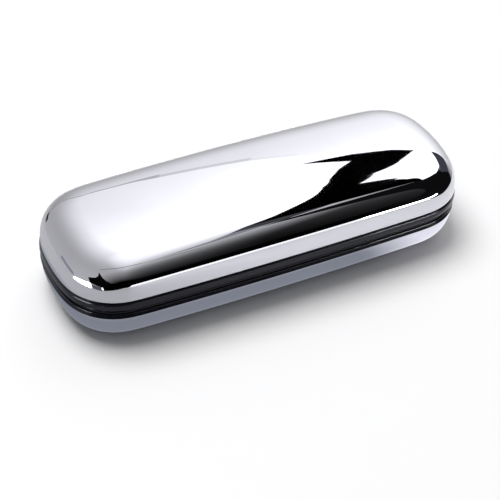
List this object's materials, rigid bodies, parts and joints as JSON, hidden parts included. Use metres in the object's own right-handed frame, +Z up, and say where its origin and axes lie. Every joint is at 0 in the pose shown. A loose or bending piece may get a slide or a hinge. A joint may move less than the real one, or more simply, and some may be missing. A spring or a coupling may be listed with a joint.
{
  "type": "eyeglasses case",
  "caption": "Hard clamshell spectacle case with mirror chrome shells, black moulded rims at the seam, a flocked lining and a rear snap hinge.",
  "frame": {"origin": "centre of the flat face that the case rests on, on the table", "axes": "+Z up; +X along the case's length; -Y out of the opening edge, so the hinges are at +Y"},
  "size_m": [0.1608, 0.0624, 0.0364],
  "materials": {
    "chrome_shell": "mirror-polished plating on pressed sheet",
    "black_rim": "glossy moulded black",
    "flocked_lining": "short black flock",
    "foam_backing": "thin soft foam sheet",
    "hinge_steel": "nickel-plated, satin",
    "spring_steel": "blued spring strip",
    "rivet_metal": "bright, flush heads"
  },
  "bodies": {
    "base": {"base_shell": "chrome_shell", "base_rim": "black_rim", "base_tray": "flocked_lining", "base_foam": "foam_backing", "base_hinge_rivets": "rivet_metal", "left_base_hinge_leaf": "hinge_steel", "right_base_hinge_leaf": "hinge_steel", "left_hinge_pin": "hinge_steel", "right_hinge_pin": "hinge_steel", "left_snap_spring": "spring_steel", "right_snap_spring": "spring_steel"},
    "lid": {"lid_shell": "chrome_shell", "lid_rim": "black_rim", "lid_tray": "flocked_lining", "lid_foam": "foam_backing", "lid_hinge_rivets": "rivet_metal", "left_lid_hinge_leaf": "hinge_steel", "right_lid_hinge_leaf": "hinge_steel"}
  },
  "joints": [
    {"name": "lid_hinge", "type": "hinge", "parent": "base", "child": "lid", "pos_m": [0, 0.0303, 0.0147], "axis": [-1, 0, 0], "range_deg": [0, 100]}
  ]
}
